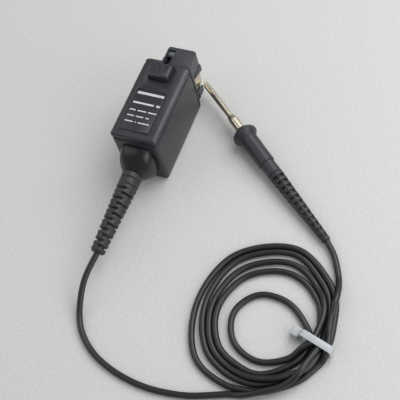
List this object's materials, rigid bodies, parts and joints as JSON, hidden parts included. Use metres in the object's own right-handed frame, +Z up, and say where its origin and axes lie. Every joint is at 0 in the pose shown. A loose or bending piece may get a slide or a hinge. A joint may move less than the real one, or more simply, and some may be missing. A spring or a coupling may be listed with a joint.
{
  "type": "oscilloscope probe",
  "caption": "Oscilloscope probe with a boxed push-on connector head, release button and latch, tied coaxial lead, and a slim hand-held head with a sprung needle tip.",
  "frame": {"origin": "centre of the box's bottom face, on the table", "axes": "+Z up out of the label face, +Y the way the connector is pushed onto the instrument, +X to its right; the table is at Z = 0"},
  "size_m": [0.1403, 0.1744, 0.0396],
  "materials": {
    "black_plastic": "fine spark texture",
    "gloss_black": "polished",
    "black_rubber": "satin",
    "nickel": "bright nickel plate",
    "steel": "satin",
    "gold_plate": "gold plate",
    "copper": "bare copper",
    "pale_plastic": "moulded",
    "board_green": "solder mask",
    "tie_nylon": "natural nylon"
  },
  "bodies": {
    "probe": {"main_housing": "black_plastic", "top_cover": "black_plastic", "label_plate": "black_plastic", "front_housing": "black_plastic", "contact_carrier": "pale_plastic", "button_spring": "steel", "latch_pivot_pin": "steel", "button_carrier": "pale_plastic", "ground_shell": "nickel", "upper_shroud": "black_plastic", "lower_shroud": "black_plastic", "connector_barrel": "nickel", "connector_insulator": "pale_plastic", "centre_contact": "gold_plate", "circuit_board": "board_green", "memory_chip": "black_plastic", "trimmer_capacitor": "pale_plastic", "termination_resistor": "steel", "case_screw_1": "steel", "case_screw_2": "steel", "board_standoff_1": "pale_plastic", "board_standoff_2": "pale_plastic", "rear_boss": "gloss_black", "box_boot": "black_rubber", "cable_ferrule": "steel", "cable_core": "copper", "cable_box_side": "black_rubber", "cable_head_side": "black_rubber", "cable_inner_turn": "black_rubber", "cable_coil": "black_rubber", "tie_strap": "tie_nylon", "tie_head": "tie_nylon", "grip_sleeve": "black_plastic", "head_body": "black_plastic", "head_boot": "black_rubber", "ground_sleeve": "nickel", "barrel_tube": "nickel", "tip_insulator": "pale_plastic", "tip_attenuator": "pale_plastic", "head_circuit_board": "board_green"},
    "button": {"release_button": "black_plastic"},
    "latch": {"latch_lever": "steel"},
    "contact_1": {"spring_contact_1": "gold_plate"},
    "contact_2": {"spring_contact_2": "gold_plate"},
    "contact_3": {"spring_contact_3": "gold_plate"},
    "contact_4": {"spring_contact_4": "gold_plate"},
    "contact_5": {"spring_contact_5": "gold_plate"},
    "tip": {"tip_pin": "gold_plate", "tip_spring": "steel"}
  },
  "joints": [
    {"name": "button_press", "type": "slide", "parent": "probe", "child": "button", "axis": [0, 0, -1], "range_m": [0, 0.0012], "stiffness_N_per_m": 800, "deforming": ["button_spring"]},
    {"name": "latch_pivot", "type": "hinge", "parent": "probe", "child": "latch", "pos_m": [0, 0.0275, 0.03], "axis": [1, 0, 0], "range_deg": [0, 8.7]},
    {"name": "contact_slide_1", "type": "slide", "parent": "probe", "child": "contact_1", "axis": [0, -1, 0], "range_m": [0, 0.0008], "stiffness_N_per_m": 300},
    {"name": "contact_slide_2", "type": "slide", "parent": "probe", "child": "contact_2", "axis": [0, -1, 0], "range_m": [0, 0.0008], "stiffness_N_per_m": 300},
    {"name": "contact_slide_3", "type": "slide", "parent": "probe", "child": "contact_3", "axis": [0, -1, 0], "range_m": [0, 0.0008], "stiffness_N_per_m": 300},
    {"name": "contact_slide_4", "type": "slide", "parent": "probe", "child": "contact_4", "axis": [0, -1, 0], "range_m": [0, 0.0008], "stiffness_N_per_m": 300},
    {"name": "contact_slide_5", "type": "slide", "parent": "probe", "child": "contact_5", "axis": [0, -1, 0], "range_m": [0, 0.0008], "stiffness_N_per_m": 300},
    {"name": "tip_plunge", "type": "slide", "parent": "probe", "child": "tip", "axis": [0.7889, -0.6119, -0.0565], "range_m": [0, 0.0012], "stiffness_N_per_m": 400}
  ],
  "couplings": [
    {"joint": "latch_pivot", "follows": "button_press", "rad_per_m": 125},
    {"joint": "contact_slide_2", "follows": "contact_slide_1", "ratio": 1},
    {"joint": "contact_slide_3", "follows": "contact_slide_1", "ratio": 1},
    {"joint": "contact_slide_4", "follows": "contact_slide_1", "ratio": 1},
    {"joint": "contact_slide_5", "follows": "contact_slide_1", "ratio": 1}
  ]
}
